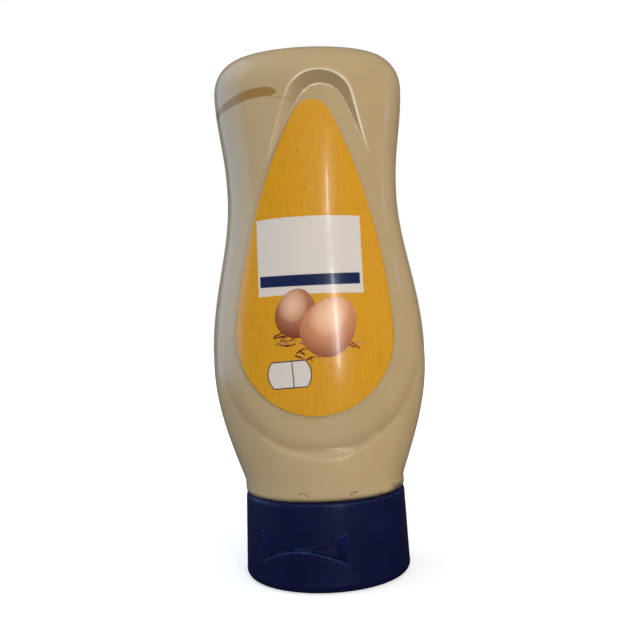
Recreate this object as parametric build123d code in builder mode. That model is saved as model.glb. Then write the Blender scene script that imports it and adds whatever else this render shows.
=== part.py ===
"""A clear squeeze bottle of mayonnaise that stands on its flip-top cap."""
from math import cos, hypot, pi, radians, sin, sqrt
import os

from build123d import *

# Driving dimensions, in millimetres. The bottle stands on its cap, front towards -Y.
height = 191.2              # foot of the cap to the top of the bottle

# Cap
cap_height = 30.8
cap_foot_radius = 30.5
cap_rim_radius = 29.5
cap_foot_rounding = 2.8
cap_rim_bevel_width = 0.7
cap_rim_bevel_height = 1.6
parting_height = 14.8       # where the lid meets the collar
parting_chamfer = 0.25      # on each side of the parting line
socket_floor = 1.8          # collar material under the neck

# Thumb recess, shaped like a bow tie and centred on the parting line
recess_turn = -18.0         # degrees about Z from the front, towards -X
recess_half_width = 15.7
recess_end_half_height = 5.4
recess_waist_half_height = 0.6
recess_waist_depth = 1.2
recess_floor_radius = 22.0

# Bottle: its collar is as wide as the cap's rim, then come belly, waist and top
rim_gap = 0.2               # between the rim and the bottle's lower shoulder
shoulder_rounding = 1.3
collar_height = 35.5        # where the upright collar ends and the belly begins
belly_height = 78.0
belly_half_width = 39.5
belly_half_depth = 30.6
waist_height = 140.0
waist_half_width = 31.7
waist_half_depth = 25.0
top_half_width = 35.0
top_half_depth = 25.3
top_rounding_height = 12.3
top_rounding_width = 11.05
wall = 0.9
neck_radius = 17.0
neck_wall = 1.5

# Label panel, a drop-shaped hollow in front and back
panel_bottom = 46.8
panel_top = 176.0
panel_belly_radius = 36.0
panel_tip_radius = 8.5
panel_tip_lean = 4.6        # how far the tip leans to the right
panel_flank_radius = 260.0
panel_top_depth = 3.2       # how far the panel lies below the wall at its top
panel_bottom_depth = 1.4
panel_flush_rise = 0.5      # how far the panel's surface would stand proud at mid height
panel_slope_at_top = 1.67   # rise of the arch's bevel for each millimetre of depth
panel_slope_at_foot = 0.8

# Labels
label_thickness = 0.15
label_bottom = 60.5
label_top = 170.5
label_belly_radius = 27.6
label_tip_radius = 7.0
label_flank_radius = 200.0
label_middle = -1.2
label_tip_lean = 2.4

# Worked out from the sizes above
neck_foot = parting_height + socket_floor
shoulder_height = cap_height + rim_gap
rounding_start = height - top_rounding_height
outside = 60.0              # clear of the bottle on every side
panel_inner_reach = 12.0    # planes between which the panel's walls are drawn
panel_outer_reach = 40.0
section_count = 15          # cross-sections that the body is lofted through
blend_lag = 1.12            # how long the belly's and the waist's curves linger


def flank_centre(belly, belly_radius, tip, tip_radius, flank_radius, side):
    """Centre of the large arc that meets the belly and tip circles tangentially."""
    to_belly = flank_radius - belly_radius
    to_tip = flank_radius - tip_radius
    across, up = tip[0] - belly[0], tip[1] - belly[1]
    apart = hypot(across, up)
    along = (to_belly**2 - to_tip**2 + apart**2) / (2 * apart)
    off = sqrt(to_belly**2 - along**2)
    x = belly[0] + along * across / apart - side * off * up / apart
    z = belly[1] + along * up / apart + side * off * across / apart
    return x, z


def far_point(centre, towards, radius):
    """Point of a circle in the direction of another point."""
    across, up = towards[0] - centre[0], towards[1] - centre[1]
    apart = hypot(across, up)
    return centre[0] + radius * across / apart, centre[1] + radius * up / apart


def arc_through(centre, radius, start, end):
    """Arc about a centre between two of its points, the shorter way round."""
    middle = ((start[0] + end[0]) / 2, (start[1] + end[1]) / 2)
    return ThreePointArc(start, far_point(centre, middle, radius), end)


def drop_outline(bottom, top, belly_radius, tip_radius, flank_radius, middle, lean):
    """Drop of four arcs: a round belly, a small round tip and two long flanks."""
    belly = (middle, bottom + belly_radius)
    tip = (middle + lean, top - tip_radius)
    sizes = (belly, belly_radius, tip, tip_radius, flank_radius)
    right = flank_centre(*sizes, 1)
    left = flank_centre(*sizes, -1)
    belly_right = far_point(right, belly, flank_radius)
    belly_left = far_point(left, belly, flank_radius)
    tip_right = far_point(right, tip, flank_radius)
    tip_left = far_point(left, tip, flank_radius)
    arc_through(right, flank_radius, belly_right, tip_right)
    arc_through(tip, tip_radius, tip_right, tip_left)
    arc_through(left, flank_radius, tip_left, belly_left)
    ThreePointArc(belly_left, (belly[0], bottom), belly_right)


def front_plane(reach):
    """Upright plane in front of the axis whose X and Y are the bottle's X and Z."""
    return Plane(origin=(0, -reach, 0), x_dir=(1, 0, 0), z_dir=(0, -1, 0))


def swell(share):
    """Blend that leaves its start at a slope and arrives level, from 0 to 1."""
    return sin(pi / 2 * share)


def sway(share):
    """Blend that leaves and arrives level and lingers at its start, from 0 to 1."""
    return (1 - cos(pi * share**blend_lag)) / 2


def body_size(z):
    """Half width and half depth of the body at a height."""
    collar = (cap_rim_radius, cap_rim_radius)
    belly = (belly_half_width, belly_half_depth)
    waist = (waist_half_width, waist_half_depth)
    top = (top_half_width, top_half_depth)
    if z < collar_height:
        return collar
    if z < belly_height:
        low, high = collar, belly
        share = swell((z - collar_height) / (belly_height - collar_height))
    elif z < waist_height:
        low, high = belly, waist
        share = sway((z - belly_height) / (waist_height - belly_height))
    else:
        low, high = waist, top
        share = sway(min(1, (z - waist_height) / (rounding_start - waist_height)))
    return tuple(start + (end - start) * share for start, end in zip(low, high))


def body_sections(inset):
    """Height, half width and half depth of the body, up to where the top rounds."""
    bottom = shoulder_height + inset
    rows = []
    for step in range(section_count):
        z = bottom + (rounding_start - bottom) * step / (section_count - 1)
        a, b = body_size(z)
        rows.append((z, a - inset, b - inset))
    return rows


def top_sections(inset):
    """Sections of the rounded top, from its widest to the flat end."""
    rows = []
    for angle in (0, 20, 40, 60, 76, 90):
        narrowing = (top_rounding_width - inset) * (1 - cos(radians(angle)))
        z = rounding_start + (top_rounding_height - inset) * sin(radians(angle))
        rows.append((z, top_half_width - inset - narrowing, top_half_depth - inset - narrowing))
    return rows


def plain_form(inset):
    """Bottle's form without its panels, drawn in from the outside by an inset."""
    with BuildPart() as form:
        for z, a, b in body_sections(inset):
            with BuildSketch(Plane.XY.offset(z)):
                Ellipse(a, b)
        loft()
        for z, a, b in top_sections(inset):
            with BuildSketch(Plane.XY.offset(z)):
                Ellipse(a, b)
        loft()
        fillet(form.edges().group_by(Axis.Z)[0], shoulder_rounding - inset)
    return form.part


def panel_depth(z):
    """How far the panel lies below the plain form: most at its top, none at mid height."""
    middle = (panel_bottom + panel_top) / 2
    half = (panel_top - panel_bottom) / 2
    depth = panel_top_depth if z > middle else panel_bottom_depth
    return (depth + panel_flush_rise) * ((z - middle) / half) ** 2 - panel_flush_rise


def panel_core(inset):
    """Form whose front is the panel's surface, wider than the bottle at the sides."""
    rows = body_sections(inset)[1:] + [(height, top_half_width, top_half_depth - inset)]
    with BuildPart() as core:
        for z, a, b in rows:
            with BuildSketch(Plane.XY.offset(z)):
                Ellipse(a + 1, b - panel_depth(min(z, panel_top)))
        loft()
    return core.part


def panel_walls(inset):
    """Block inside the panel's outline, which widens outwards along the arch's bevel."""
    with BuildPart() as walls:
        for reach in (panel_inner_reach, panel_outer_reach):
            out_from_top = reach - (top_half_depth - inset - panel_top_depth)
            foot_half_depth = body_size(panel_bottom)[1]
            out_from_foot = reach - (foot_half_depth - inset - panel_bottom_depth)
            top = panel_top + panel_slope_at_top * out_from_top
            bottom = panel_bottom - panel_slope_at_foot * out_from_foot
            with BuildSketch(front_plane(reach)):
                with BuildLine():
                    drop_outline(bottom + inset, top - inset, panel_belly_radius - inset,
                                 panel_tip_radius, panel_flank_radius, 0, panel_tip_lean)
                make_face()
        loft(ruled=True)
    return walls.part


def panelled_form(inset):
    """Bottle's form with the label panel hollowed into its front and back."""
    hollow = panel_walls(inset) - panel_core(inset)
    return plain_form(inset) - hollow - Rot(0, 0, 180) * hollow


def label_skin(turn):
    """Thin label on the panel's surface, seen from the front or turned to the back."""
    with BuildPart() as skin:
        with BuildSketch(front_plane(outside)):
            with BuildLine():
                drop_outline(label_bottom, label_top, label_belly_radius, label_tip_radius,
                             label_flank_radius, label_middle, label_tip_lean)
            make_face()
        extrude(amount=-outside)
        add(Pos(0, -label_thickness, 0) * outer_form, mode=Mode.INTERSECT)
        add(outer_form, mode=Mode.SUBTRACT)
    return Rot(0, 0, turn) * skin.part


def cap_radius(z):
    """Outer radius of the tapered cap at a height."""
    return cap_foot_radius + (cap_rim_radius - cap_foot_radius) * z / cap_height


def recess_cutter():
    """Bow-tie recess across the parting line, deeper at its ends than at its waist."""
    w, e, m = recess_half_width, recess_end_half_height, recess_waist_half_height
    with BuildPart() as cutter:
        with BuildSketch(front_plane(outside)):
            with BuildLine():
                ThreePointArc((-w, parting_height + e), (0, parting_height + m),
                              (w, parting_height + e))
                Line((w, parting_height + e), (w, parting_height - e))
                ThreePointArc((w, parting_height - e), (0, parting_height - m),
                              (-w, parting_height - e))
                Line((-w, parting_height - e), (-w, parting_height + e))
            make_face()
        extrude(amount=-outside)
        floor_centre = cap_radius(parting_height) - recess_waist_depth - recess_floor_radius
        with BuildSketch(Plane.XY):
            with Locations((0, -floor_centre)):
                Circle(recess_floor_radius)
        extrude(amount=cap_height, mode=Mode.SUBTRACT)
    return Rot(0, 0, recess_turn) * cutter.part


outer_form = panelled_form(0)
inner_form = panelled_form(wall)
thumb_recess = recess_cutter()

with BuildPart() as mayonnaise:
    add(inner_form)
    with BuildSketch(Plane.XY.offset(neck_foot)):
        Circle(neck_radius - neck_wall)
    extrude(amount=shoulder_height + shoulder_rounding - neck_foot)

with BuildPart() as bottle:
    add(outer_form)
    with BuildSketch(Plane.XY.offset(neck_foot)):
        Circle(neck_radius)
    extrude(amount=shoulder_height + shoulder_rounding - neck_foot)
    add(mayonnaise.part, mode=Mode.SUBTRACT)

with BuildPart() as cap_collar:
    with BuildSketch(Plane.XZ):
        with BuildLine():
            edge = cap_radius(parting_height)
            Polyline((0, parting_height), (edge - parting_chamfer, parting_height),
                     (edge, parting_height + parting_chamfer),
                     (cap_rim_radius, cap_height - cap_rim_bevel_height),
                     (cap_rim_radius - cap_rim_bevel_width, cap_height),
                     (neck_radius, cap_height), (neck_radius, neck_foot), (0, neck_foot),
                     close=True)
        make_face()
    revolve(axis=Axis.Z)
    add(thumb_recess, mode=Mode.SUBTRACT)

with BuildPart() as cap_lid:
    with BuildSketch(Plane.XZ):
        with BuildLine():
            edge = cap_radius(parting_height)
            Polyline((0, 0), (cap_foot_radius, 0), (edge, parting_height - parting_chamfer),
                     (edge - parting_chamfer, parting_height), (0, parting_height), close=True)
        make_face()
    revolve(axis=Axis.Z)
    fillet(cap_lid.edges().group_by(Axis.Z)[0], cap_foot_rounding)
    add(thumb_recess, mode=Mode.SUBTRACT)

with BuildPart() as label_front:
    add(label_skin(0))

with BuildPart() as label_back:
    add(label_skin(180))

os.makedirs("parts", exist_ok=True)
mayonnaise.part.label = "mayonnaise"
export_step(mayonnaise.part, "parts/mayonnaise.step")
bottle.part.label = "bottle"
export_step(bottle.part, "parts/bottle.step")
cap_collar.part.label = "cap_collar"
export_step(cap_collar.part, "parts/cap_collar.step")
cap_lid.part.label = "cap_lid"
export_step(cap_lid.part, "parts/cap_lid.step")
label_front.part.label = "label_front"
export_step(label_front.part, "parts/label_front.step")
label_back.part.label = "label_back"
export_step(label_back.part, "parts/label_back.step")
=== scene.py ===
"""A clear squeeze bottle of mayonnaise on its flip-top cap, finished for rendering."""

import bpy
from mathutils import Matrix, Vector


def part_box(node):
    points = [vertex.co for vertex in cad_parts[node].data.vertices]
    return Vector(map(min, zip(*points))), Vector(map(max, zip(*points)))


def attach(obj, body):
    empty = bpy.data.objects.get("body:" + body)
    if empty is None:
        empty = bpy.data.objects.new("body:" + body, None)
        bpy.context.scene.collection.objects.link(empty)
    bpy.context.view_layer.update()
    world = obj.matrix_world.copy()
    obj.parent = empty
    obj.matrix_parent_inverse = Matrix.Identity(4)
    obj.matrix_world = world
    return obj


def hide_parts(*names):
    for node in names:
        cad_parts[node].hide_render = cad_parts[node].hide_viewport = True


bl_info = {
    "name": "Squeeze bottle finish",
    "version": (1, 0, 0),
    "blender": (4, 5, 0),
    "location": "3D View > Sidebar > Squeeze bottle",
    "description": "Builds the wall, contents, labels, cap and stage of a squeeze bottle",
    "category": "Add Mesh",
}

import math
import random

import bpy
import numpy as np
from mathutils import Matrix, Vector

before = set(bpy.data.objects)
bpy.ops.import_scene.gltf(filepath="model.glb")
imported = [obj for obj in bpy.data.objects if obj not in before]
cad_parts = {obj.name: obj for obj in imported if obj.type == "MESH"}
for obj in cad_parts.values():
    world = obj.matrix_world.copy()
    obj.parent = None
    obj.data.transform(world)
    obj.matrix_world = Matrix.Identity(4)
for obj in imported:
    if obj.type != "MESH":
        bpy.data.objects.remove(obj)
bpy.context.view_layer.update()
MM = 0.001
BODY = "root"


def node_mm(node, corner, axis):
    """One coordinate of a node's box, in millimetres."""
    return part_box(node)[corner][axis] / MM


# ---------------------------------------------------------------- settings

def length(name, text, millimetres):
    return bpy.props.FloatProperty(name=name, description=text, default=millimetres * MM,
                                   unit="LENGTH", precision=5)


def colour(name, text, rgb):
    return bpy.props.FloatVectorProperty(name=name, description=text, default=rgb, size=3,
                                         subtype="COLOR", min=0.0, max=1.0)


class BottleSizes(bpy.types.PropertyGroup):
    """Sizes of the bottle's wall and cap, the same as the frame's."""
    height: length("Height", "Foot of the cap to the top", node_mm("bottle", 1, 2))
    rim_height: length("Rim height", "Top of the cap", node_mm("cap_collar", 1, 2))
    parting_height: length("Parting height", "Where lid meets collar", node_mm("cap_lid", 1, 2))
    foot_radius: length("Foot radius", "Cap's radius at its foot", 30.5)
    rim_radius: length("Rim radius", "Cap's radius at its rim", 29.5)
    foot_rounding: length("Foot rounding", "Rounding at the cap's foot", 2.8)
    rim_bevel_width: length("Rim bevel width", "Width of the bevel round the rim", 0.7)
    rim_bevel_height: length("Rim bevel height", "Height of that bevel", 1.6)
    seam: length("Seam", "Groove between lid and collar", 0.07)
    neck_radius: length("Neck radius", "Outer radius of the neck", 17.0)
    neck_wall: length("Neck wall", "Thickness of the neck", 1.5)
    neck_foot: length("Neck foot", "Lower end of the neck", node_mm("bottle", 0, 2))
    shoulder_gap: length("Shoulder gap", "Rim to the bottle's lower shoulder", 0.2)
    shoulder_rounding: length("Shoulder rounding", "Rounding of the lower shoulder", 1.3)
    collar_height: length("Collar height", "Where the belly begins", 35.5)
    belly_height: length("Belly height", "Widest place", 78.0)
    belly_half_width: length("Belly half width", "Half the width there", 39.5)
    belly_half_depth: length("Belly half depth", "Half the depth there", 30.6)
    waist_height: length("Waist height", "Narrowest place", 140.0)
    waist_half_width: length("Waist half width", "Half the width there", 31.7)
    waist_half_depth: length("Waist half depth", "Half the depth there", 25.0)
    top_half_width: length("Top half width", "Half the width under the top", 35.0)
    top_half_depth: length("Top half depth", "Half the depth under the top", 25.3)
    top_rounding_height: length("Top rounding height", "Height of the top's edge", 12.3)
    top_rounding_width: length("Top rounding width", "Width of the top's edge", 11.05)
    wall: length("Wall", "Thickness of the clear wall", 0.9)
    fill_reach: length("Fill reach", "How far the contents reach into the wall", 0.35)


class PanelSizes(bpy.types.PropertyGroup):
    """Sizes of the drop-shaped panels and of the labels on them."""
    panel_bottom: length("Panel bottom", "Lowest point of the panel", 46.8)
    panel_top: length("Panel top", "Highest point of the panel", 176.0)
    panel_belly: length("Panel belly", "Radius of the panel's round end", 36.0)
    panel_tip: length("Panel tip", "Radius of the panel's tip", 8.5)
    panel_lean: length("Panel lean", "How far the panel's tip leans", 4.6)
    panel_flank: length("Panel flank", "Radius of the panel's sides", 260.0)
    top_depth: length("Top depth", "Panel's depth at its top", 3.2)
    bottom_depth: length("Bottom depth", "Panel's depth at its bottom", 1.4)
    flush_rise: length("Flush rise", "How far the panel rises past the wall half way up", 0.5)
    label_bottom: length("Label bottom", "Lowest point of the label", 60.5)
    label_top: length("Label top", "Highest point of the label", 170.5)
    label_belly: length("Label belly", "Radius of the label's round end", 27.6)
    label_tip: length("Label tip", "Radius of the label's tip", 7.0)
    label_flank: length("Label flank", "Radius of the label's sides", 200.0)
    label_middle: length("Label middle", "Where the label is centred", -1.2)
    label_lean: length("Label lean", "How far the label's tip leans", 2.4)
    label_gap: length("Label gap", "Gap between label and wall", 0.01)
    label_lift: length("Label lift", "Label's face above the wall", 0.12)


class RecessSizes(bpy.types.PropertyGroup):
    """Sizes of the bow-tie thumb recess in the cap."""
    turn: bpy.props.FloatProperty(name="Turn", description="Turn of the recess from the front",
                                  default=math.radians(-18), subtype="ANGLE")
    half_width: length("Half width", "Half the recess's width", 15.7)
    end_half_height: length("End half height", "Half its height at the ends", 5.4)
    waist_half_height: length("Waist half height", "Half its height in the middle", 0.6)
    waist_depth: length("Waist depth", "Depth in the middle", 1.2)
    end_depth: length("End depth", "Depth near the ends", 2.5)
    end_slope: length("End slope", "Width of the sloping ends", 3.6)
    edge: length("Edge", "Width of the upper and lower edges", 0.5)


class PackColours(bpy.types.PropertyGroup):
    """Colours of the contents, the print and the cap."""
    cream: colour("Cream", "Mayonnaise", (0.55, 0.42, 0.236))
    # The oily streak's amber is partly the oily film and partly painted shade of the air gap.
    amber: colour("Amber", "Oily streak under the wall", (0.36, 0.20, 0.045))
    yellow: colour("Yellow", "Label", (0.59, 0.275, 0.007))
    white: colour("White", "White fields of the print", (0.60, 0.535, 0.475))
    navy: colour("Navy", "Bar on the label", (0.006, 0.014, 0.062))
    egg: colour("Egg", "Shell of the front egg", (0.62, 0.27, 0.125))
    egg_dark: colour("Dark egg", "Shell of the egg behind", (0.40, 0.15, 0.075))
    straw: colour("Straw", "Straw under the eggs", (0.13, 0.025, 0.010))
    cap: colour("Cap", "Moulded cap", (0.0030, 0.0046, 0.031))
    # Painted highlight colour for the cap's lit edges and tab.
    cap_edge: colour("Cap edge", "Worn, lit edges of the cap", (0.05, 0.10, 0.30))
    floor: colour("Floor", "Floor", (0.80, 0.80, 0.80))


def sizes_of(group):
    """A property group's lengths as plain millimetres, and its angle in radians."""
    values = {}
    for key in group.__annotations__:
        value = getattr(group, key)
        values[key] = value if key == "turn" else value / MM
    return type("Sizes", (), values)


def bottle_sizes():
    return sizes_of(bpy.context.scene.bottle_sizes)


def panel_sizes():
    return sizes_of(bpy.context.scene.panel_sizes)


# ---------------------------------------------------------------- shader maths

class Tree:
    """Nodes of one tree, each made by one method, with maths written as expressions."""

    def __init__(self, tree):
        self.tree = tree
        tree.nodes.clear()

    def node(self, kind, *inputs, settings=None, out=0, **values):
        """A node fed in order and by name. It gives one output, or all of them for None."""
        made = self.tree.nodes.new(kind)
        for key, value in (settings or {}).items():
            setattr(made, key, value)
        for socket, value in zip(made.inputs, inputs):
            if value is not None:
                self.feed(socket, value)
        for key, value in values.items():
            self.feed(made.inputs[key.replace("_", " ")], value)
        outputs = [Value(self, socket) for socket in made.outputs]
        return outputs if out is None or not outputs else outputs[out]

    def feed(self, socket, value):
        if isinstance(value, Value):
            self.tree.links.new(value.socket, socket)
        elif socket.type == "RGBA" and len(value) == 3:
            socket.default_value = (*value, 1.0)
        else:
            socket.default_value = value

    def maths(self, operation, *terms, clamp=False):
        return self.node("ShaderNodeMath", *terms,
                         settings={"operation": operation, "use_clamp": clamp})

    def mix(self, share, first, second):
        """Two colours blended by a share."""
        return self.node("ShaderNodeMix", share, *[None] * 5, first, second, out=2,
                         settings={"data_type": "RGBA"})

    def place(self):
        """X, Y and Z on the object, in millimetres."""
        where = self.node("ShaderNodeTexCoord", out=3)
        return [axis * (1 / MM) for axis in self.node("ShaderNodeSeparateXYZ", where, out=None)]

    def noise(self, per_mm, detail=3.0, stretch=(1, 1, 1)):
        """Noise from 0 to 1 whose grain is so many to the millimetre."""
        where = self.node("ShaderNodeTexCoord", out=3)
        scale = tuple(per_mm / MM * share for share in stretch)
        placed = self.node("ShaderNodeMapping", Vector=where, Scale=scale)
        return self.node("ShaderNodeTexNoise", Vector=placed, Scale=1.0, Detail=detail)

    def bump(self, height_mm):
        """A normal from a height in millimetres."""
        return self.node("ShaderNodeBump", Height=height_mm * MM, Strength=1.0, Distance=1.0)

    def seen_by(self, *rays):
        """1 for rays of these kinds: 0 camera, 1 shadow, 3 glossy, 6 transmission."""
        kinds = self.node("ShaderNodeLightPath", out=None)
        share = kinds[rays[0]]
        for ray in rays[1:]:
            share = share.most(kinds[ray])
        return share


class Value:
    """A socket that takes part in sums."""

    def __init__(self, tree, socket):
        self.tree, self.socket = tree, socket

    def __add__(self, other):
        return self.tree.maths("ADD", self, other)

    __radd__ = __add__

    def __sub__(self, other):
        return self.tree.maths("SUBTRACT", self, other)

    def __rsub__(self, other):
        return self.tree.maths("SUBTRACT", other, self)

    def __mul__(self, other):
        return self.tree.maths("MULTIPLY", self, other)

    __rmul__ = __mul__

    def __truediv__(self, other):
        return self.tree.maths("DIVIDE", self, other)

    def __rtruediv__(self, other):
        return self.tree.maths("DIVIDE", other, self)

    def __pow__(self, other):
        return self.tree.maths("POWER", self, other)

    def __abs__(self):
        return self.tree.maths("ABSOLUTE", self)

    def least(self, other):
        return self.tree.maths("MINIMUM", self, other)

    def most(self, other):
        return self.tree.maths("MAXIMUM", self, other)

    def clamp(self):
        return self.tree.maths("ADD", self, 0.0, clamp=True)

    def fade(self, low, high):
        """0 below low, 1 above high, in a straight line between."""
        return self.tree.maths("MULTIPLY_ADD", self, 1 / (high - low), -low / (high - low),
                               clamp=True)


def material(name):
    made = bpy.data.materials.new(name)
    made.use_nodes = True
    return made, Tree(made.node_tree)


# ---------------------------------------------------------------- form of the bottle

LAG = 1.12                  # how much later the sides sway than a plain cosine
BEVEL_RUN = (1.67, 0.9)     # run of the panel's bevel for its depth, in its upper and lower half
BEVEL_BLEND = (0.2, 0.5)    # rounding where that bevel meets the wall, in millimetres
PANEL_REACH = 14            # this far past the panel's outline the wall is plain
TOP_DIP = 0.9               # how far the flat top is sunk in its middle


def sway(share):
    return (1 - np.cos(np.pi * np.clip(share, 0, 1)**LAG)) / 2


def body_size(s, z):
    """Half width and half depth of the bottle at heights, with both rounded ends."""
    z = np.asarray(z, float)
    start = s.height - s.top_rounding_height
    rise = np.sin(np.pi / 2 * np.clip((z - s.collar_height)
                                      / (s.belly_height - s.collar_height), 0, 1))
    fall = sway((z - s.belly_height) / (s.waist_height - s.belly_height))
    widen = sway((z - s.waist_height) / (start - s.waist_height))
    sizes = []
    for belly, waist, top in ((s.belly_half_width, s.waist_half_width, s.top_half_width),
                              (s.belly_half_depth, s.waist_half_depth, s.top_half_depth)):
        size = s.rim_radius + (belly - s.rim_radius) * rise
        size = size + (waist - belly) * fall + (top - waist) * widen
        up = np.clip((z - start) / s.top_rounding_height, 0, 1)
        size = size - s.top_rounding_width * (1 - np.sqrt(1 - up**2))
        shoulder = s.rim_height + s.shoulder_gap
        down = np.clip((shoulder + s.shoulder_rounding - z) / s.shoulder_rounding, 0, 1)
        sizes.append(size - s.shoulder_rounding * (1 - np.sqrt(1 - down**2)))
    return sizes


class Drop:
    """Outline of four arcs that meet smoothly: round belly, small tip, two long flanks."""

    def __init__(self, bottom, top, belly_radius, tip_radius, flank_radius, middle, lean):
        self.belly, self.belly_radius = np.array((middle, bottom + belly_radius)), belly_radius
        self.tip, self.tip_radius = np.array((middle + lean, top - tip_radius)), tip_radius
        self.flank_radius, self.bottom, self.top = flank_radius, bottom, top
        self.sides = {side: self.flank(side) for side in (1, -1)}

    def flank(self, side):
        """Centre of a flank's arc, and where it meets the belly and the tip."""
        to_belly = self.flank_radius - self.belly_radius
        to_tip = self.flank_radius - self.tip_radius
        across, up = self.tip - self.belly
        apart = math.hypot(across, up)
        along = (to_belly**2 - to_tip**2 + apart**2) / (2 * apart)
        off = math.sqrt(to_belly**2 - along**2)
        centre = self.belly + np.array((along * across - side * off * up,
                                        along * up + side * off * across)) / apart
        ends = [centre + self.flank_radius * (point - centre) / np.linalg.norm(point - centre)
                for point in (self.belly, self.tip)]
        return centre, ends[0], ends[1]

    def edge(self, z, side):
        """X of the outline at heights, on the right (1) or the left (-1)."""
        centre, low, high = self.sides[side]
        belly = self.belly[0] + side * np.sqrt(np.clip(self.belly_radius**2
                                                       - (z - self.belly[1])**2, 0, None))
        tip = self.tip[0] + side * np.sqrt(np.clip(self.tip_radius**2
                                                   - (z - self.tip[1])**2, 0, None))
        flank = centre[0] + side * np.sqrt(self.flank_radius**2 - (z - centre[1])**2)
        return np.where(z < low[1], belly, np.where(z > high[1], tip, flank))

    def outside(self, x, z):
        """Distance outside the outline, negative inside it."""
        result = np.full(np.shape(x), -1e9)
        lean = (self.tip - self.belly) / np.linalg.norm(self.tip - self.belly)
        right = (x - self.belly[0]) * lean[1] - (z - self.belly[1]) * lean[0] > 0
        for side, here in ((1, right), (-1, ~right)):
            centre, low, high = self.sides[side]
            px, pz = x - centre[0], z - centre[1]
            below = side * ((low[0] - centre[0]) * pz - (low[1] - centre[1]) * px) < 0
            above = side * ((high[0] - centre[0]) * pz - (high[1] - centre[1]) * px) > 0
            flank = np.hypot(px, pz) - self.flank_radius
            belly = np.hypot(x - self.belly[0], z - self.belly[1]) - self.belly_radius
            tip = np.hypot(x - self.tip[0], z - self.tip[1]) - self.tip_radius
            result = np.where(here, np.where(below, belly, np.where(above, tip, flank)), result)
        return result


def panel_drop(p):
    return Drop(p.panel_bottom, p.panel_top, p.panel_belly, p.panel_tip, p.panel_flank,
                0.0, p.panel_lean)


def label_drop(p):
    return Drop(p.label_bottom, p.label_top, p.label_belly, p.label_tip, p.label_flank,
                p.label_middle, p.label_lean)


def soft_least(first, second, blend):
    """The smaller of two, rounded where they cross."""
    share = np.clip(0.5 + (second - first) / (2 * blend), 0, 1)
    return second + (first - second) * share - blend * share * (1 - share)


def front_depth(s, p, x, z):
    """How far the wall stands in front of the axis, with the panel hollowed in."""
    a, b = body_size(s, z)
    body = b * np.sqrt(np.clip(1 - (x / a)**2, 0, 1))
    middle, half = (p.panel_bottom + p.panel_top) / 2, (p.panel_top - p.panel_bottom) / 2
    share = np.clip((z - middle) / half, -1, 1)
    deepest = np.where(z > middle, p.top_depth, p.bottom_depth)
    below = (deepest + p.flush_rise) * share**2 - p.flush_rise
    start = s.height - s.top_rounding_height
    a, b = body_size(s, np.minimum(z, start))
    floor = (b - below) * np.sqrt(np.clip(1 - (x / (a + 1))**2, 0, 1))
    away = panel_drop(p).outside(x, z)
    bevel = floor + np.clip(away, 0, None) / np.where(z > middle, *BEVEL_RUN)
    hollow = soft_least(body, bevel, np.where(z > middle, *BEVEL_BLEND))
    return np.where(away > PANEL_REACH, body, hollow)


def spaced(stops):
    """Values between stops, each stretch with its own step."""
    values = [stops[0][0]]
    for (low, step), (high, _) in zip(stops, stops[1:]):
        count = max(1, round((high - low) / step))
        values += [low + (high - low) * (i + 1) / count for i in range(count)]
    return np.array(values)


def around(fine, medium, coarse):
    """Angles round the bottle from the front, fine over the front's arch."""
    degrees = spaced([(-40, fine), (40, medium), (72, coarse), (108, medium), (252, coarse),
                      (288, medium), (320, 0)])
    return np.radians(degrees[:-1])


def heights(s, step, fine, inset):
    """Heights of the bottle's rows, closer at its rounded ends and by the arch."""
    shoulder = s.rim_height + s.shoulder_gap
    low = [shoulder + s.shoulder_rounding * (1 - math.cos(math.radians(a)))
           for a in range(0, 90, 15)]
    middle = spaced([(shoulder + s.shoulder_rounding, step), (43, fine * 2), (58, step),
                     (145, fine), (s.height - s.top_rounding_height, 0)])
    up = [s.height - s.top_rounding_height * (1 - math.sin(math.radians(a)))
          for a in (*np.arange(1.5, 18, 1.5), *range(18, 90, 4))]
    rows = np.array(low + list(middle) + up + [s.height])
    shoulder_in, top_in = shoulder + inset, s.height - inset
    return shoulder_in + (rows - shoulder) * (top_in - shoulder_in) / (s.height - shoulder), rows


def grid_mesh(name, rings, low_pole=None, high_pole=None):
    """A closed skin through rings of points, ended by poles."""
    count, around_count = len(rings), len(rings[0])
    points = [tuple(c * MM for c in point) for ring in rings for point in ring]
    faces = []
    for i in range(count - 1):
        for j in range(around_count):
            k = (j + 1) % around_count
            faces.append((i * around_count + j, i * around_count + k,
                          (i + 1) * around_count + k, (i + 1) * around_count + j))
    for pole, ring, turned in ((low_pole, 0, True), (high_pole, count - 1, False)):
        if pole is None:
            continue
        points.append(tuple(c * MM for c in pole))
        tip = len(points) - 1
        for j in range(around_count):
            a, b = ring * around_count + j, ring * around_count + (j + 1) % around_count
            faces.append((b, a, tip) if turned else (a, b, tip))
    mesh = bpy.data.meshes.new(name)
    mesh.from_pydata(points, [], faces)
    mesh.polygons.foreach_set("use_smooth", [True] * len(faces))
    mesh.update()
    return mesh


def place(name, mesh, finish, node):
    """Puts a finished mesh in the scene in place of a node."""
    piece = bpy.data.objects.new(name, mesh)
    bpy.context.scene.collection.objects.link(piece)
    if finish:
        mesh.materials.append(finish)
    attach(piece, BODY)
    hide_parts(node)


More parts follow.
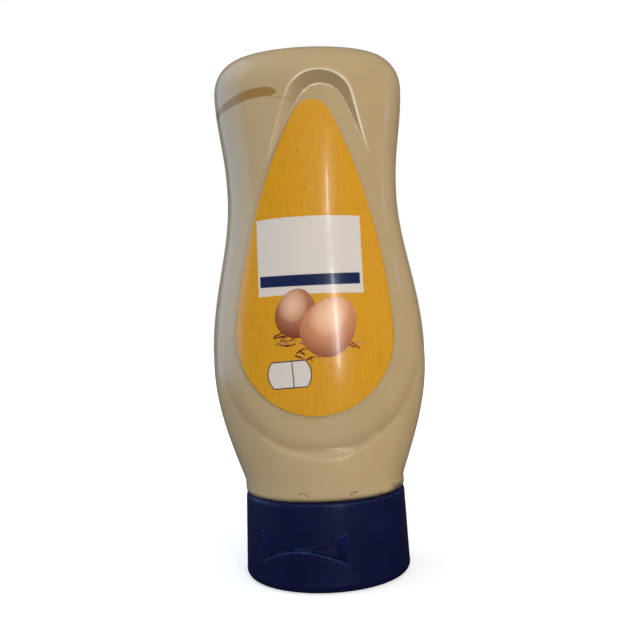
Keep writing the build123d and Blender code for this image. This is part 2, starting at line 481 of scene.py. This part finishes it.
def bottle_rings(s, p, inset, angles, step, fine):
    """Rings of the bottle's skin from its lower shoulder to its flat top."""
    places, rows = heights(s, step, fine, inset)
    rings = []
    for z, row in zip(places, rows):
        a, b = (float(v) for v in body_size(s, row))
        x = (a - inset) * np.sin(angles)
        y = -(b - inset) * np.cos(angles)
        xs = x * a / (a - inset)
        front, back = np.cos(angles) > 0.05, np.cos(angles) < -0.05
        z_row = np.full(x.shape, row)
        depth = front_depth(s, p, xs, z_row)
        plain = b * np.sqrt(np.clip(1 - (xs / a)**2, 0, 1))
        y = np.where(front, y + (plain - depth), y)
        depth = front_depth(s, p, -xs, z_row)
        y = np.where(back, y - (plain - depth), y)
        rings.append([(float(i), float(j), float(z)) for i, j in zip(x, y)])
    return rings


def neck_rings(angles, *stops):
    """Round rings at (radius, height)."""
    return [[(radius * math.sin(t), -radius * math.cos(t), z) for t in angles]
            for radius, z in stops]


def capped_top(rings):
    """The flat top: rings drawn in towards the middle, sunk by a shallow dip."""
    top = rings[-1]
    z = top[0][2]
    for share in (0.93, 0.87, 0.82, 0.77, 0.7, 0.5, 0.25):
        down = min(1.0, max(0.0, (0.9 - share) / 0.15))
        sink = TOP_DIP * (3 * down**2 - 2 * down**3)
        rings.append([(x * share, y * share, z - sink) for x, y, _ in top])
    return rings, (0, 0, z - TOP_DIP)


class PACK_OT_bottle(bpy.types.Operator):
    """Makes the clear wall with its panels, shoulder and neck"""
    bl_idname = "pack.bottle"
    bl_label = "Clear wall"

    def execute(self, context):
        s, p = bottle_sizes(), panel_sizes()
        shoulder, bore = s.rim_height + s.shoulder_gap, s.neck_radius - s.neck_wall
        angles = around(0.55, 1.6, 4.0)
        lining, ceiling = capped_top(bottle_rings(s, p, s.wall, angles, 5.0, 3.0))
        lining = neck_rings(angles, (bore, s.neck_foot), (bore, shoulder + s.wall)) + lining
        neck = neck_rings(angles, (s.neck_radius, s.neck_foot), (s.neck_radius, shoulder - 0.2),
                          (s.neck_radius + 0.2, shoulder))
        outer, top = capped_top(bottle_rings(s, p, 0.0, angles, 1.6, 0.34))
        mesh = grid_mesh("bottle_wall", lining[::-1] + neck + outer, ceiling, top)
        place("bottle_wall", mesh, clear_plastic(), "bottle")
        return {"FINISHED"}


def note_panel(mesh, s, p, inset):
    """Notes on each point how far it is past the panel's outline and how deep it is hollowed."""
    x, y, z = (np.array([v.co for v in mesh.vertices]) / MM).T
    past = panel_drop(p).outside(np.where(y < 0, x, -x), z)
    foot = s.rim_height + s.shoulder_gap
    tall = s.height - foot
    a, b = body_size(s, foot + (z - foot - inset) * tall / (tall - 2 * inset))
    plain = (b - inset) * np.sqrt(np.clip(1 - (x / (a - inset))**2, 0, 1))
    for name, values in (("past_panel", past), ("hollow", plain - np.abs(y))):
        mesh.attributes.new(name, "FLOAT", "POINT").data.foreach_set("value", values)


class PACK_OT_contents(bpy.types.Operator):
    """Makes the mayonnaise, which reaches a little way into the wall"""
    bl_idname = "pack.contents"
    bl_label = "Contents"

    def execute(self, context):
        s, p = bottle_sizes(), panel_sizes()
        inset = s.wall - s.fill_reach
        angles = around(0.8, 2.0, 4.0)
        radius = s.neck_radius - s.neck_wall + s.fill_reach
        foot = s.neck_foot + 0.05
        neck = neck_rings(angles, (radius, foot), (radius, s.rim_height + s.shoulder_gap + inset))
        rings, top = capped_top(neck + bottle_rings(s, p, inset, angles, 1.8, 0.5))
        mesh = grid_mesh("mayonnaise_fill", rings, (0, 0, foot), top)
        note_panel(mesh, s, p, inset)
        place("mayonnaise_fill", mesh, mayonnaise_finish(), "mayonnaise")
        return {"FINISHED"}


def label_mesh(name, s, p, turned):
    """A thin closed skin on the panel, with the drop's outline."""
    drop = label_drop(p)
    rows, columns = 150, 84
    shares = (1 - np.cos(np.linspace(0.035, math.pi - 0.035, rows))) / 2
    z = drop.bottom + (drop.top - drop.bottom) * shares
    left, right = drop.edge(z, -1), drop.edge(z, 1)
    across = np.linspace(0, 1, columns)
    x = left[:, None] + (right - left)[:, None] * across[None, :]
    zz = np.repeat(z[:, None], columns, axis=1)
    sign = 1 if turned else -1
    sheets = []
    for lift in (p.label_lift, p.label_gap):
        y = front_depth(s, p, x, zz) + lift
        sheets.append(np.stack([-sign * x, sign * y, zz], axis=2).reshape(-1, 3) * MM)
    points = [tuple(row) for sheet in sheets for row in sheet]
    size = rows * columns
    faces = []
    for i in range(rows - 1):
        for j in range(columns - 1):
            a = i * columns + j
            quad = (a, a + 1, a + columns + 1, a + columns)
            faces.append(quad)
            faces.append(tuple(size + v for v in quad[::-1]))
    border = list(range(columns))
    border += [i * columns + columns - 1 for i in range(1, rows)]
    border += [(rows - 1) * columns + j for j in range(columns - 2, -1, -1)]
    border += [i * columns for i in range(rows - 2, 0, -1)]
    for a, b in zip(border, border[1:] + border[:1]):
        faces.append((b, a, size + a, size + b))
    mesh = bpy.data.meshes.new(name)
    mesh.from_pydata(points, [], faces)
    mesh.polygons.foreach_set("use_smooth", [True] * len(faces))
    mesh.update()
    return mesh


class PACK_OT_labels(bpy.types.Operator):
    """Makes the two drop-shaped labels"""
    bl_idname = "pack.labels"
    bl_label = "Labels"

    def execute(self, context):
        s, p = bottle_sizes(), panel_sizes()
        place("label_front_skin", label_mesh("label_front_skin", s, p, False),
              label_print(True), "label_front")
        place("label_back_skin", label_mesh("label_back_skin", s, p, True),
              label_print(False), "label_back")
        return {"FINISHED"}


# ---------------------------------------------------------------- cap

def bow_tie(t, foot_radius, parting, r, x, y, z):
    """Place across the bow-tie, how far inside its long edges, and 1 near it, by maths nodes."""
    off = t.maths("WRAP", t.maths("ARCTAN2", x, y * -1.0) - r.turn, math.pi, -math.pi)
    across = t.maths("SINE", off) * foot_radius
    sag = r.end_half_height - r.waist_half_height
    arc = (r.half_width * r.half_width + sag * sag) / (sag * 2)
    half = r.waist_half_height + arc - (arc * arc - across * across).most(0.0)**0.5
    return across, half - abs(z - parting), 1 - abs(off).fade(0.80, 0.82)


RECESS_INPUTS = ("foot_radius", "parting", *RecessSizes.__annotations__)


def recess_tree():
    """Geometry nodes that press the bow-tie recess into a cap's wall by its rule."""
    tree = bpy.data.node_groups.new("bow_tie_recess", "GeometryNodeTree")
    add = tree.interface.new_socket
    add(name="Geometry", in_out="INPUT", socket_type="NodeSocketGeometry")
    for name in RECESS_INPUTS:
        add(name=name, in_out="INPUT", socket_type="NodeSocketFloat")
    add(name="Material", in_out="INPUT", socket_type="NodeSocketMaterial")
    add(name="Geometry", in_out="OUTPUT", socket_type="NodeSocketGeometry")
    t = Tree(tree)
    given = t.node("NodeGroupInput", out=None)
    geometry, finish = given[0], given[len(RECESS_INPUTS) + 1]
    r = type("Inputs", (), dict(zip(RECESS_INPUTS, given[1:])))
    where = t.node("GeometryNodeInputPosition")
    x, y, z = (axis * (1 / MM) for axis in t.node("ShaderNodeSeparateXYZ", where, out=None))
    across, inside, near = bow_tie(t, r.foot_radius, r.parting, r, x, y, z)
    share = across / r.half_width
    floor = r.waist_depth + (r.end_depth - r.waist_depth) * (share * share)
    ends = (r.half_width - abs(across)) * (r.end_depth / r.end_slope)
    cut = floor.least(ends).least(inside * (1.6 / r.edge)).most(0.0) * near
    radius = (x * x + y * y)**0.5
    cut = cut * t.maths("GREATER_THAN", radius, r.foot_radius * 0.9)
    kept = (radius - cut) / radius * MM
    moved = t.node("GeometryNodeSetPosition", geometry, None,
                   t.node("ShaderNodeCombineXYZ", x * kept, y * kept, z * MM))
    whole = t.node("GeometryNodeRealizeInstances", moved)
    t.node("NodeGroupOutput", t.node("GeometryNodeSetMaterial", whole, None, finish))
    return tree


def pressed(mesh, tree, values):
    """A mesh put through a geometry tree, whose inputs are set by their identifiers."""
    carrier = bpy.data.objects.new("carrier", mesh)
    bpy.context.scene.collection.objects.link(carrier)
    modifier = carrier.modifiers.new("recess", "NODES")
    modifier.node_group = tree
    for item in tree.interface.items_tree:
        if item.in_out == "INPUT" and item.name in values:
            modifier[item.identifier] = values[item.name]
    depsgraph = bpy.context.evaluated_depsgraph_get()
    shaped = bpy.data.meshes.new_from_object(carrier.evaluated_get(depsgraph))
    carrier.modifiers.remove(modifier)
    bpy.data.objects.remove(carrier)
    return shaped


def cap_angles(r):
    """Angles round the cap from the front, fine over the recess."""
    reach = 35
    turn = math.degrees(r.turn)
    degrees = spaced([(turn - reach, 0.32), (turn + reach, 2.0), (turn - reach + 360, 0)])
    return np.radians(degrees[:-1])


def cap_radius(s, z):
    return s.foot_radius + (s.rim_radius - s.foot_radius) * z / s.rim_height


class PACK_OT_cap(bpy.types.Operator):
    """Makes the cap's collar and its shut lid, with the thumb recess across both"""
    bl_idname = "pack.cap"
    bl_label = "Flip-top cap"

    def execute(self, context):
        s, r = bottle_sizes(), sizes_of(context.scene.recess_sizes)
        parting, seam, top = s.parting_height, s.seam, s.rim_height
        angles, edge = cap_angles(r), cap_radius(s, s.parting_height)
        values = {name: getattr(r, name) for name in RecessSizes.__annotations__}
        values.update(foot_radius=s.foot_radius, parting=parting, Material=cap_plastic(s, r))
        tree = recess_tree()

        lip, band, fine, coarse = 1.2, 6.0, 0.22, 0.9

        wall = spaced([(parting + seam, fine), (parting + band, coarse),
                       (top - s.rim_bevel_height, 0)])
        profile = [(s.neck_radius * 0.5, parting), (edge - lip, parting), (edge - seam, parting),
                   *[(cap_radius(s, z), z) for z in wall]]
        for degrees in range(15, 91, 15):
            t = math.radians(degrees)
            profile.append((s.rim_radius - s.rim_bevel_width * (1 - math.cos(t)),
                            top - s.rim_bevel_height * (1 - math.sin(t))))
        profile += [(s.rim_radius - 2.4, top), (s.neck_radius, top), (s.neck_radius, s.neck_foot),
                    (s.neck_radius * 0.5, s.neck_foot)]
        collar = grid_mesh("cap_collar_shell", neck_rings(angles, *profile),
                           (0, 0, parting), (0, 0, s.neck_foot))
        place("cap_collar_shell", pressed(collar, tree, values), None, "cap_collar")

        round_up = s.foot_rounding
        profile = [(s.neck_radius, 0.0), (s.foot_radius - round_up - 1.5, 0.0)]
        for degrees in range(0, 91, 10):
            t = math.radians(degrees)
            profile.append((s.foot_radius - round_up * (1 - math.sin(t)),
                            round_up * (1 - math.cos(t))))
        wall = spaced([(round_up + 0.5, coarse), (parting - band, fine), (parting - seam, 0)])
        profile += [(cap_radius(s, z), z) for z in wall]
        profile += [(edge - seam, parting), (edge - lip, parting), (s.neck_radius * 0.5, parting)]
        lid = grid_mesh("cap_lid_shell", neck_rings(angles, *profile),
                        (0, 0, 0), (0, 0, parting))
        place("cap_lid_shell", pressed(lid, tree, values), None, "cap_lid")
        return {"FINISHED"}


# ---------------------------------------------------------------- finishes

def clear_plastic():
    """Clear squeeze plastic: glass-like, with slow ripples, and open to the lamps."""
    made, t = material("clear_squeeze_plastic")
    ripple = t.noise(0.035, 2.0, (1, 1, 0.6))
    rough = t.noise(0.25, 3.0).fade(0.3, 0.8) * 0.08 + 0.15
    clear = t.node("ShaderNodeBsdfPrincipled", Base_Color=(0.97, 0.955, 0.92), Roughness=rough,
                   IOR=1.46, Transmission_Weight=1.0, Normal=t.bump(ripple * 0.35))
    open_way = t.node("ShaderNodeBsdfTransparent", Color=(0.97, 0.96, 0.94))
    t.node("ShaderNodeOutputMaterial",
           t.node("ShaderNodeMixShader", t.seen_by(1), clear, open_way))
    return made


def toned(rgb, red, green, blue):
    """A colour with each of its channels scaled."""
    return rgb[0] * red, rgb[1] * green, rgb[2] * blue


def smear(t, x, z, middle, degrees, reach, half, soft=0.25):
    """1 on a short soft stroke."""
    along, over = turned(x, z, middle, degrees)
    return 1 - (abs(along) - reach).most((abs(over) - half) * 2.0).fade(-soft, soft)


def painted_arch_shading(t, look, x, z, cream):
    """Painted shade and highlights of the panel's slopes over the cream: painted shade on the dark
    faces, painted highlights on the pale edges, painted shade in the soft dip below.
    """
    past, hollow = (t.node("ShaderNodeAttribute", settings={"attribute_name": name}, out=2)
                    for name in ("past_panel", "hollow"))
    arch = z.fade(140, 150) * (1 - z.fade(182.5, 184))
    right = x.fade(-8, -3.5)
    painted_face_shade = past.fade(0.1, 0.5) * hollow.fade(0.1, 0.4) * arch
    painted_inner_highlight = (1 - abs(past).fade(0.08, 0.42)) * hollow.fade(0.3, 0.8)
    painted_inner_highlight = painted_inner_highlight * (1 - abs(x - 5.5).fade(1.5, 6.0) * 0.65)
    outer = (1 - hollow.fade(0.10, 0.36)) * hollow.fade(0.0, 0.04) * past.fade(0.4, 0.9)
    # Painted shade on the upper bevel faces, right of the left leg.
    cream = t.mix(painted_face_shade * right * 0.5, cream, toned(look.cream, 0.55, 0.5, 0.42))
    # Painted highlights along the arch's inner and outer edges.
    cream = t.mix(painted_inner_highlight.most(outer) * arch * right * 0.85, cream, (0.95, 0.90, 0.78))
    # Painted shade: a faint brownish line along the outer edge of the left leg.
    cream = t.mix(outer * arch * (1 - right) * 0.35, cream, toned(look.cream, 0.8, 0.62, 0.45))
    # Painted shade: the dark band just inside the panel's lower edge.
    painted_dip_shade = past.fade(-7.0, -1.6) * (1 - past.fade(-1.0, 0.4)) * (1 - z.fade(62, 84))
    return t.mix(painted_dip_shade * 0.45, cream, toned(look.cream, 0.6, 0.55, 0.45))


def oily_streak_and_gap_shade(t, x, z):
    """1 on the bowed streak at the upper left and, fainter, on the thin tail that leaves it: an
    oily air gap under the wall, its darkness partly painted shade.
    """
    crest, crown, bow, half_thick = -17.0, 173.85, 0.0125, 1.7
    wobble = t.noise(0.22, 2.0) * 0.9 - 0.45
    middle = crown - (x - crest) * (x - crest) * bow
    blunt = (x + 13.2).most(0.0) / 2.7
    half = (1.0 - blunt).most(0.0)**0.6 * half_thick - (x * -1.0).fade(24, 34) * 0.45
    band = 1 - (abs(z + wobble * 0.6 - middle) - half).fade(-0.25, 0.2)
    band = band * half.fade(0.02, 0.2)
    tail = (1 - (abs(z - 171.6 + (x + 12.0) * 0.16 + wobble * 0.5) / 0.4).fade(0.5, 1.4)) * 0.35
    tail = tail * x.fade(-13, -11.5) * (1 - x.fade(-7, -3.5))
    return band.most(tail)


def rim_dirt(t, x, z):
    """1 on the smudge and on the small marks just above the cap's rim."""
    dirt = smear(t, x, z, (27.0, 32.2), -8, 3.4, 1.0, 1.1)
    dirt = dirt.most(smear(t, x, z, (24.0, 31.3), 12, 2.6, 0.5, 0.8))
    for spot, degrees, reach in (((-6.6, 33.6), -38, 1.0), ((-8.4, 34.2), 30, 0.7),
                                 ((10.2, 33.7), 12, 1.0), ((8.8, 33.2), 70, 0.4)):
        dirt = dirt.most(smear(t, x, z, spot, degrees, reach, 0.2))
    return dirt * t.noise(0.9, 3.0).fade(0.30, 0.52)


def mayonnaise_finish():
    """Cream-coloured emulsion with faint clouds, painted shade and highlights on the arch's faces
    and edges, the oily streak with painted shade of its air gap, and dirt.
    """
    made, t = material("mayonnaise")
    look = bpy.context.scene.pack_colours
    x, y, z = t.place()
    front = (y * -1.0).fade(0.0, 1.0)
    tone = t.mix(t.noise(0.05, 3.0).fade(0.3, 0.7) * 0.4, tuple(look.cream),
                 toned(look.cream, 0.93, 0.91, 0.86))
    tone = painted_arch_shading(t, look, x, z, tone)
    # The oily streak in amber; its darkness is partly painted shade of the air gap.
    tone = t.mix(oily_streak_and_gap_shade(t, x, z) * front, tone, tuple(look.amber))
    tone = t.mix(rim_dirt(t, x, z) * front * 0.85, tone, (0.045, 0.030, 0.020))
    t.node("ShaderNodeOutputMaterial",
           t.node("ShaderNodeBsdfPrincipled", Base_Color=tone, Roughness=0.5, IOR=1.46,
                  Normal=t.bump(t.noise(0.12, 3.0) * 0.03)))
    return made


def box_mask(x, z, left, right, low, high, soft=0.12):
    """1 inside an upright rectangle, with edges as soft as print."""
    across = abs(x - (left + right) / 2) - (right - left) / 2
    up = abs(z - (low + high) / 2) - (high - low) / 2
    return 1 - across.most(up).fade(-soft, soft)


def turned(x, z, middle, degrees):
    """X and Z from a middle, along axes turned anticlockwise."""
    c, s = math.cos(math.radians(degrees)), math.sin(math.radians(degrees))
    dx, dz = x - middle[0], z - middle[1]
    return dx * c + dz * s, dz * c - dx * s


def egg_mask(x, z, middle, half_width, half_height, degrees):
    """1 inside an egg, and its radius share from 0 to 1, with across and up shares."""
    across, up = turned(x, z, middle, degrees)
    up = up / half_height
    across = across / half_width * (up * 0.13 + 1.0)
    share = (across * across + up * up)**0.5
    return 1 - share.fade(0.985, 1.015), share, across, up


def label_print(front):
    """Printed film: a yellow drop with plain fields and, in front, two eggs on straw."""
    made, t = material("label_print_front" if front else "label_print_back")
    look = bpy.context.scene.pack_colours
    x, y, z = t.place()
    if not front:
        x = x * -1.0
    grain = t.noise(3.2, 2.0)
    streaks = t.noise(2.2, 2.0, (1, 1, 0.06))
    yellow = t.mix(t.noise(0.06, 2.0).fade(0.3, 0.7) * 0.25, tuple(look.yellow),
                   toned(look.yellow, 0.92, 0.88, 0.9))
    yellow = t.mix(streaks.fade(0.45, 0.66) * 0.5, yellow, toned(look.yellow, 0.84, 0.76, 0.6))
    yellow = t.mix(grain.fade(0.50, 0.68) * 0.10, yellow, (0.85, 0.52, 0.06))
    tone = t.mix((1 - grain.fade(0.30, 0.42)) * 0.22, yellow,
                 tuple(c * 0.55 for c in look.yellow))
    if front:
        white = box_mask(x, z + abs(x + 1.8) * abs(x + 1.8) * 0.0012, -19.9, 16.3, 102.3, 129.3)
        tone = t.mix(white, tone, tuple(look.white))
        tone = t.mix(box_mask(x, z, -19.2, 15.3, 105.1, 109.0), tone, tuple(look.navy))
        tone = eggs_on_straw(t, look, x, z, tone)
        tone = lozenge(t, look, x, z, tone)
        for spot, degrees, reach in (((-4.4, 152.4), 72, 0.5), ((-2.2, 139.3), -20, 0.4),
                                     ((7.9, 148.1), 80, 0.4), ((21.9, 91.2), 60, 0.35),
                                     ((4.2, 100.4), -65, 0.35), ((20.4, 78.5), 85, 0.3)):
            tone = t.mix(smear(t, x, z, spot, degrees, reach, 0.10), tone, (0.10, 0.045, 0.012))
    else:
        tone = t.mix(box_mask(x, z, -17.0, 17.0, 82.0, 128.0), tone, tuple(look.white))
        tone = t.mix(box_mask(x, z, -17.0, 17.0, 76.0, 80.0), tone, tuple(look.navy))
    rough = grain * 0.12 + 0.15
    t.node("ShaderNodeOutputMaterial",
           t.node("ShaderNodeBsdfPrincipled", Base_Color=tone, Roughness=rough, IOR=1.5,
                  Coat_Weight=0.2, Coat_Roughness=0.06, Normal=t.bump(grain * 0.014)))
    return made


def eggs_on_straw(t, look, x, z, tone):
    """Straw strokes, then the brown egg behind and the lighter egg in front."""
    rng = random.Random(7)
    heaps = (((-14.0, -4.5), (84.8, 89.2), 26), ((-7.0, 1.5), (79.4, 84.8), 16),
             ((10.0, 14.5), (83.8, 86.8), 4))
    for (left, right), (low, high), count in heaps:
        for index in range(count):
            middle = (rng.uniform(left, right), rng.uniform(low, high))
            stroke = smear(t, x, z, middle, rng.uniform(-40, 40), rng.uniform(0.5, 2.0),
                           rng.uniform(0.10, 0.34))
            tone = t.mix(stroke, tone, tuple(look.straw) if index % 4 else (0.46, 0.20, 0.07))
    speckle = t.noise(1.1, 3.0)
    for middle, half_w, half_h, degrees, shell in (
            ((-7.1, 95.8), 7.1, 8.5, -12, look.egg_dark), ((4.0, 90.9), 9.0, 10.8, -38, look.egg)):
        mask, share, across, up = egg_mask(x, z, middle, half_w, half_h, degrees)
        shade = (share.fade(0.3, 1.0) * 0.55 + (z * -1.0 + middle[1]) / half_h * 0.45).clamp()
        colour_shell = t.mix(shade, tuple(shell), toned(shell, 0.38, 0.22, 0.16))
        glow = 1 - ((across + 0.25) * (across + 0.25) + (up - 0.3) * (up - 0.3)).fade(0.0, 0.55)
        colour_shell = t.mix(glow * 0.55, colour_shell, (0.92, 0.62, 0.40))
        colour_shell = t.mix(speckle.fade(0.5, 0.75) * 0.16, colour_shell,
                             tuple(c * 0.6 for c in shell))
        tone = t.mix(mask, tone, colour_shell)
    return tone


def lozenge(t, look, x, z, tone):
    """A blank white plate with bulging ends, a dark outline and a divider."""
    half_width, half_height, swell, line, soft = 5.8, 4.75, 1.9, 0.42, 0.1
    outline = (0.06, 0.045, 0.035)
    across, up = turned(x, z, (-10.3, 75.0), 3)
    bulge = (1 - (up / half_height) * (up / half_height)) * swell
    past = (abs(across) - half_width - bulge).most(abs(up) - half_height)
    whole = 1 - past.fade(-soft, soft)
    divider = box_mask(across, up, 1.0, 1.36, -4.6, 4.6)
    tone = t.mix(whole, tone, outline)
    tone = t.mix(1 - past.fade(-line - soft, soft - line), tone, tuple(look.white))
    return t.mix(divider * whole, tone, outline)


def cap_plastic(s, r):
    """Dark navy moulded plastic, satin, with handling marks, painted light on the recess's end
    walls and tab, and painted highlights along its edges and rim.
    """
    made, t = material("navy_moulded_plastic")
    look = bpy.context.scene.pack_colours
    x, y, z = t.place()
    scuff = t.noise(0.5, 4.0, (0.3, 0.3, 2.0))
    tone = t.mix(t.noise(0.12, 2.0).fade(0.3, 0.7) * 0.5, tuple(look.cap),
                 tuple(c * 1.5 for c in look.cap))
    tone = t.mix(t.noise(2.6, 1.0).fade(0.70, 0.78) * 0.16, tone, (0.06, 0.07, 0.12))
    across, inside, near = bow_tie(t, s.foot_radius, s.parting_height, r, x, y, z)
    end = r.half_width - abs(across)
    near = near * end.fade(-0.3, 0.1)
    # Painted light: the recess's sloping end walls lighter blue, most in the upper half.
    painted_end_light = inside.fade(0.1, 0.6) * (1 - end.fade(r.end_slope - 1.2, r.end_slope + 0.2)) * near
    upper = (z - s.parting_height).fade(-5.0, 4.5)
    tone = t.mix(painted_end_light * (upper * upper) * 0.65, tone, (0.004, 0.010, 0.10))
    # Painted light: the centre tab lighter, as if lit.
    painted_tab_light = (1 - abs(across).fade(2.2, 4.2)) * inside.fade(0.0, 0.2) * near
    tone = t.mix(painted_tab_light * 0.6, tone, tuple(c * 0.4 for c in look.cap_edge))
    # Painted highlights along the bow-tie's edges, strongest at its upper ends, and along the rim
    # bevel's lower edge, broken up by noise.
    lit = abs(across).fade(12.0, 15.2) * upper * 0.9 + (1 - abs(across).fade(1.5, 6.0)) * 0.2 + 0.25
    rim_highlight_line = 1 - abs(z - s.rim_height + 0.85).fade(0.04, 0.26)
    painted_edge_highlight = ((1 - abs(inside + 0.02).fade(0.06, 0.34)) * near * lit.clamp()).most(rim_highlight_line * 0.22)
    tone = t.mix(painted_edge_highlight * t.noise(0.6, 2.0).fade(0.25, 0.6), tone, tuple(look.cap_edge))
    rough = scuff.fade(0.3, 0.75) * 0.16 + 0.30
    t.node("ShaderNodeOutputMaterial",
           t.node("ShaderNodeBsdfPrincipled", Base_Color=tone, Roughness=rough, IOR=1.5,
                  Specular_IOR_Level=0.16, Normal=t.bump(t.noise(1.8, 2.0) * 0.01)))
    return made


# ---------------------------------------------------------------- stage

def lamp(name, kind_size, place_at, aim, power, tint=(1, 1, 1), mirrored=True):
    """A soft rectangular lamp at a place, aimed at a point."""
    data = bpy.data.lights.new(name, "AREA")
    data.shape, data.size, data.size_y = "RECTANGLE", *kind_size
    data.energy, data.color = power, tint
    made = bpy.data.objects.new(name, data)
    bpy.context.scene.collection.objects.link(made)
    made.visible_glossy = made.visible_transmission = mirrored
    facing = (Vector(aim) - Vector(place_at)).to_track_quat("-Z", "Y").to_matrix().to_4x4()
    made.matrix_world = Matrix.Translation(place_at) @ facing


def lay_floor(scene, room, white):
    """A pale floor that keeps the shadow and fades into the room."""
    made, t = material("pale_floor")
    x, y, _ = t.place()
    far = ((x * x + y * y)**0.5).fade(70, 420)
    plain = t.node("ShaderNodeBsdfDiffuse",
                   Color=t.mix(t.seen_by(3), tuple(scene.pack_colours.floor), (0.05, 0.05, 0.06)))
    glow = t.node("ShaderNodeEmission", Color=white, Strength=far * 0.55 + 0.50)
    seen = t.node("ShaderNodeMixShader", t.seen_by(0, 6), plain,
                  t.node("ShaderNodeAddShader", plain, glow))
    distant = t.node("ShaderNodeEmission", Color=room, Strength=0.10)
    t.node("ShaderNodeOutputMaterial",
           t.node("ShaderNodeMixShader", far * t.seen_by(3), seen, distant))
    mesh = bpy.data.meshes.new("floor")
    mesh.from_pydata([(-3, -3, 0), (3, -3, 0), (3, 3, 0), (-3, 3, 0)], [], [(0, 1, 2, 3)])
    mesh.materials.append(made)
    floor = bpy.data.objects.new("floor", mesh)
    scene.collection.objects.link(floor)


def light_room(scene, room, white):
    """A dim room round the bottle, white where it is looked at straight or through the wall."""
    world = bpy.data.worlds.new("studio")
    world.use_nodes = True
    t = Tree(world.node_tree)
    dim = t.node("ShaderNodeBackground", room, 0.44 - t.seen_by(3) * 0.36)
    bright = t.node("ShaderNodeBackground", white, 1.0)
    t.node("ShaderNodeOutputWorld",
           t.node("ShaderNodeMixShader", t.seen_by(0, 6), dim, bright))
    scene.world = world


def hang_lamps():
    """A cool window on the left, soft fills, and two strips for the label's highlight."""
    lamp("left_window", (0.7, 1.5), (-0.62, 0.14, 0.30), (0, 0, 0.2), 4.6, (0.40, 0.62, 1))
    lamp("front_fill", (0.6, 0.6), (0.12, -0.70, 0.40), (0, 0, 0.1), 2.1, (1, 0.95, 0.86), False)
    lamp("right_fill", (0.3, 0.5), (0.62, -0.30, 0.30), (0, 0, 0.1), 0.9, (1, 0.94, 0.84), False)
    lamp("strip_high", (0.016, 0.07), (0.15, -0.53, 0.275), (0, 0, 0.12), 0.10)
    lamp("strip_low", (0.028, 0.20), (0.15, -0.53, 0.13), (0, 0, 0.10), 0.42)
    lamp("far_window", (0.05, 0.02), (0.55, 0.08, 0.25), (0, 0, 0.12), 0.02, (0.3, 0.45, 1))
    lamp("top_soft", (0.6, 0.5), (0, -0.05, 0.75), (0, 0, 0.1), 0.5, (1, 1, 1), False)


def set_camera(scene):
    """The camera in front of the label, turned a little about its own line of sight."""
    data = bpy.data.cameras.new("camera")
    data.sensor_width, data.lens = 36.0, 44.76
    camera = bpy.data.objects.new("camera", data)
    scene.collection.objects.link(camera)
    pitch, roll = math.radians(90.39), math.radians(-2.65)
    camera.matrix_world = (Matrix.Translation((0.00088, -0.300, 0.0913))
                           @ Matrix.Rotation(pitch, 4, "X") @ Matrix.Rotation(roll, 4, "Z"))
    scene.camera = camera


class PACK_OT_stage(bpy.types.Operator):
    """Makes the floor, the lamps, the world and the camera"""
    bl_idname = "pack.stage"
    bl_label = "Stage"

    def execute(self, context):
        scene = context.scene
        room, white = (0.93, 0.96, 1.0), (1, 1, 1)
        lay_floor(scene, room, white)
        light_room(scene, room, white)
        hang_lamps()
        set_camera(scene)
        scene.view_settings.view_transform = "Standard"
        return {"FINISHED"}


# ---------------------------------------------------------------- add-on

class PACK_PT_panel(bpy.types.Panel):
    """Lists the bottle's settings and its steps"""
    bl_idname = "PACK_PT_panel"
    bl_label = "Squeeze bottle"
    bl_space_type = "VIEW_3D"
    bl_region_type = "UI"
    bl_category = "Squeeze bottle"

    def draw(self, context):
        for title, group in GROUPS.items():
            box = self.layout.box()
            box.label(text=title.replace("_", " ").capitalize())
            for key in group.__annotations__:
                box.prop(getattr(context.scene, title), key)
        for step in STEPS:
            self.layout.operator(step.bl_idname)


GROUPS = {"bottle_sizes": BottleSizes, "panel_sizes": PanelSizes, "recess_sizes": RecessSizes,
          "pack_colours": PackColours}
STEPS = (PACK_OT_stage, PACK_OT_bottle, PACK_OT_contents, PACK_OT_labels, PACK_OT_cap)


def register():
    for group in GROUPS.values():
        bpy.utils.register_class(group)
    for step in STEPS:
        bpy.utils.register_class(step)
    bpy.utils.register_class(PACK_PT_panel)
    for title, group in GROUPS.items():
        setattr(bpy.types.Scene, title, bpy.props.PointerProperty(type=group))


def unregister():
    for title in GROUPS:
        delattr(bpy.types.Scene, title)
    for made in (PACK_PT_panel, *STEPS[::-1], *list(GROUPS.values())[::-1]):
        bpy.utils.unregister_class(made)


def main():
    register()
    bpy.ops.pack.stage()
    bpy.ops.pack.bottle()
    bpy.ops.pack.contents()
    bpy.ops.pack.labels()
    bpy.ops.pack.cap()


if __name__ == "__main__":
    main()
